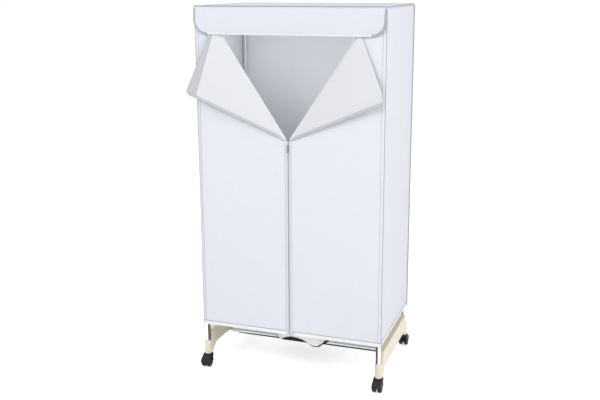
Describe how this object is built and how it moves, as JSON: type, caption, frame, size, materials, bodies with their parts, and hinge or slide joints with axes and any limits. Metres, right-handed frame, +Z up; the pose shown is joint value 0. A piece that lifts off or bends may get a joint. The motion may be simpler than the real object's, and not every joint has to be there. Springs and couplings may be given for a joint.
{
  "type": "drying cabinet",
  "caption": "Portable heated drying cabinet: zipped fabric wardrobe on a chromed tube frame with moulded feet, castors and a fan heater in its base.",
  "frame": {"origin": "on the floor under the middle of the cabinet", "axes": "+Z up, -Y out of the zipped front, +X to the right seen from the front"},
  "size_m": [0.7881, 0.5345, 1.47],
  "materials": {
    "cover_fabric": "woven, pale blue-grey",
    "lining": "coated white lining",
    "piping": "grey bias binding",
    "chrome_tube": "polished",
    "cream_plastic": "moulded, satin",
    "connector_plastic": "moulded",
    "black_plastic": "moulded",
    "steel_pin": "zinc plated",
    "heater_white": "moulded",
    "heater_black": "moulded",
    "motor_metal": "plated",
    "element_metal": "finned",
    "zip_plastic": "coil",
    "zip_metal": "painted"
  },
  "bodies": {
    "cabinet": {"foot_left": "cream_plastic", "foot_right": "cream_plastic", "base_tube_front": "chrome_tube", "base_tube_back": "chrome_tube", "post_lower_front_left": "chrome_tube", "post_upper_front_left": "chrome_tube", "post_lower_front_right": "chrome_tube", "post_upper_front_right": "chrome_tube", "post_lower_back_left": "chrome_tube", "post_upper_back_left": "chrome_tube", "post_lower_back_right": "chrome_tube", "post_upper_back_right": "chrome_tube", "post_joiners": "connector_plastic", "top_corners": "connector_plastic", "top_tube_front": "chrome_tube", "top_tube_back": "chrome_tube", "top_tube_left": "chrome_tube", "top_tube_right": "chrome_tube", "hanging_rail": "chrome_tube", "rail_tees": "connector_plastic", "cover_top": "cover_fabric", "cover_back": "cover_fabric", "cover_side_left": "cover_fabric", "cover_side_right": "cover_fabric", "cover_front_left": "cover_fabric", "cover_front_right": "cover_fabric", "cover_floor": "lining", "cover_piping": "piping", "zip_chain": "zip_plastic", "heater_base": "heater_black", "heater_shell": "heater_white", "heater_grille": "heater_black", "heater_motor": "motor_metal", "heater_element": "element_metal", "heater_inlet": "heater_black"},
    "castor_front_left": {"castor_front_left_hood": "black_plastic", "castor_front_left_pins": "steel_pin"},
    "castor_front_left_wheel_a": {"castor_front_left_wheel_a": "black_plastic"},
    "castor_front_left_wheel_b": {"castor_front_left_wheel_b": "black_plastic"},
    "castor_front_right": {"castor_front_right_hood": "black_plastic", "castor_front_right_pins": "steel_pin"},
    "castor_front_right_wheel_a": {"castor_front_right_wheel_a": "black_plastic"},
    "castor_front_right_wheel_b": {"castor_front_right_wheel_b": "black_plastic"},
    "castor_back_left": {"castor_back_left_hood": "black_plastic", "castor_back_left_pins": "steel_pin"},
    "castor_back_left_wheel_a": {"castor_back_left_wheel_a": "black_plastic"},
    "castor_back_left_wheel_b": {"castor_back_left_wheel_b": "black_plastic"},
    "castor_back_right": {"castor_back_right_hood": "black_plastic", "castor_back_right_pins": "steel_pin"},
    "castor_back_right_wheel_a": {"castor_back_right_wheel_a": "black_plastic"},
    "castor_back_right_wheel_b": {"castor_back_right_wheel_b": "black_plastic"},
    "valance": {"valance": "cover_fabric"},
    "flap_left": {"flap_left": "lining", "flap_left_hem": "lining"},
    "flap_right": {"flap_right": "lining", "flap_right_hem": "lining"},
    "zip_slider": {"zip_slider": "zip_metal"},
    "zip_pull": {"zip_pull": "zip_metal"},
    "heater_fan": {"heater_fan": "black_plastic"},
    "timer_knob": {"timer_knob": "heater_black"}
  },
  "joints": [
    {"name": "castor_front_left_swivel", "type": "hinge", "parent": "cabinet", "child": "castor_front_left", "pos_m": [-0.3635, -0.2238, 0.055], "axis": [0, 0, 1], "continuous": true},
    {"name": "castor_front_left_roll_a", "type": "hinge", "parent": "castor_front_left", "child": "castor_front_left_wheel_a", "pos_m": [-0.3635, -0.2388, 0.02], "axis": [1, 0, 0], "continuous": true},
    {"name": "castor_front_left_roll_b", "type": "hinge", "parent": "castor_front_left", "child": "castor_front_left_wheel_b", "pos_m": [-0.3635, -0.2388, 0.02], "axis": [1, 0, 0], "continuous": true},
    {"name": "castor_front_right_swivel", "type": "hinge", "parent": "cabinet", "child": "castor_front_right", "pos_m": [0.3635, -0.2238, 0.055], "axis": [0, 0, 1], "continuous": true},
    {"name": "castor_front_right_roll_a", "type": "hinge", "parent": "castor_front_right", "child": "castor_front_right_wheel_a", "pos_m": [0.3635, -0.2388, 0.02], "axis": [1, 0, 0], "continuous": true},
    {"name": "castor_front_right_roll_b", "type": "hinge", "parent": "castor_front_right", "child": "castor_front_right_wheel_b", "pos_m": [0.3635, -0.2388, 0.02], "axis": [1, 0, 0], "continuous": true},
    {"name": "castor_back_left_swivel", "type": "hinge", "parent": "cabinet", "child": "castor_back_left", "pos_m": [-0.3635, 0.2238, 0.055], "axis": [0, 0, 1], "continuous": true},
    {"name": "castor_back_left_roll_a", "type": "hinge", "parent": "castor_back_left", "child": "castor_back_left_wheel_a", "pos_m": [-0.3635, 0.2388, 0.02], "axis": [1, 0, 0], "continuous": true},
    {"name": "castor_back_left_roll_b", "type": "hinge", "parent": "castor_back_left", "child": "castor_back_left_wheel_b", "pos_m": [-0.3635, 0.2388, 0.02], "axis": [1, 0, 0], "continuous": true},
    {"name": "castor_back_right_swivel", "type": "hinge", "parent": "cabinet", "child": "castor_back_right", "pos_m": [0.3635, 0.2238, 0.055], "axis": [0, 0, 1], "continuous": true},
    {"name": "castor_back_right_roll_a", "type": "hinge", "parent": "castor_back_right", "child": "castor_back_right_wheel_a", "pos_m": [0.3635, 0.2388, 0.02], "axis": [1, 0, 0], "continuous": true},
    {"name": "castor_back_right_roll_b", "type": "hinge", "parent": "castor_back_right", "child": "castor_back_right_wheel_b", "pos_m": [0.3635, 0.2388, 0.02], "axis": [1, 0, 0], "continuous": true},
    {"name": "valance_lift", "type": "hinge", "parent": "cabinet", "child": "valance", "pos_m": [0, -0.23905, 1.4703], "axis": [-1, 0, 0], "range_deg": [0, 255]},
    {"name": "flap_left_fold", "type": "hinge", "parent": "cabinet", "child": "flap_left", "pos_m": [0, -0.236, 0.965], "axis": [-0.5523, 0, 0.8336], "range_deg": [0, 172], "deforming": ["flap_left_hem"]},
    {"name": "flap_right_fold", "type": "hinge", "parent": "cabinet", "child": "flap_right", "pos_m": [0, -0.236, 0.965], "axis": [-0.5523, 0, -0.8336], "range_deg": [0, 172], "deforming": ["flap_right_hem"]},
    {"name": "zip_slide", "type": "slide", "parent": "cabinet", "child": "zip_slider", "axis": [0, 0, -1], "range_m": [0, 0.751]},
    {"name": "zip_pull_swing", "type": "hinge", "parent": "zip_slider", "child": "zip_pull", "pos_m": [0, -0.23975, 0.9485], "axis": [-1, 0, 0], "range_deg": [0, 150]},
    {"name": "fan_spin", "type": "hinge", "parent": "cabinet", "child": "heater_fan", "pos_m": [0, 0, 0.162], "axis": [0, 0, 1], "continuous": true},
    {"name": "timer_turn", "type": "hinge", "parent": "cabinet", "child": "timer_knob", "pos_m": [0, -0.107, 0.166], "axis": [0, -1, 0], "range_deg": [-270, 0]}
  ]
}
